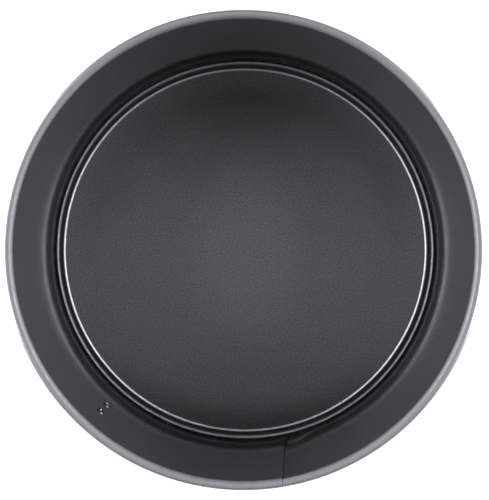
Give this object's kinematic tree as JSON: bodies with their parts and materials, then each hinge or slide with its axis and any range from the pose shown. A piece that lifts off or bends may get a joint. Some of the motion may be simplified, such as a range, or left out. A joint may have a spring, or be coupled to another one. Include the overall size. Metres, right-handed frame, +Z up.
{
  "type": "springform cake tin",
  "caption": "Round dark non-stick springform cake tin with a rolled rim, a loose raised base and a wire clasp on the side band.",
  "frame": {"origin": "centre of the baking floor's top face", "axes": "+Z up along the tin's axis, -Y towards the side with the clasp"},
  "size_m": [0.2488, 0.2545, 0.0717],
  "materials": {
    "coating": "satin non-stick",
    "clasp_steel": "plated"
  },
  "bodies": {
    "pan": {"band": "coating", "keeper": "clasp_steel", "keeper_rivet_upper": "clasp_steel", "keeper_rivet_lower": "clasp_steel", "lever_bracket": "clasp_steel", "bracket_rivet_upper": "clasp_steel", "bracket_rivet_lower": "clasp_steel", "lever_pin": "clasp_steel"},
    "base": {"base_plate": "coating"},
    "lever": {"lever": "clasp_steel"},
    "bail": {"bail": "clasp_steel"}
  },
  "joints": [
    {"name": "clasp_lever", "type": "hinge", "parent": "pan", "child": "lever", "pos_m": [-0.02953, -0.12301, 0.036], "axis": [0, 0, -1], "range_deg": [0, 150]},
    {"name": "bail_swing", "type": "hinge", "parent": "lever", "child": "bail", "pos_m": [-0.02279, -0.12493, 0.036], "axis": [0, 0, -1], "range_deg": [-150, 0]},
    {"name": "base_lift", "type": "slide", "parent": "pan", "child": "base", "axis": [0, 0, 1], "range_m": [0, 0.085]}
  ],
  "couplings": [
    {"joint": "bail_swing", "follows": "clasp_lever", "ratio": -1}
  ]
}
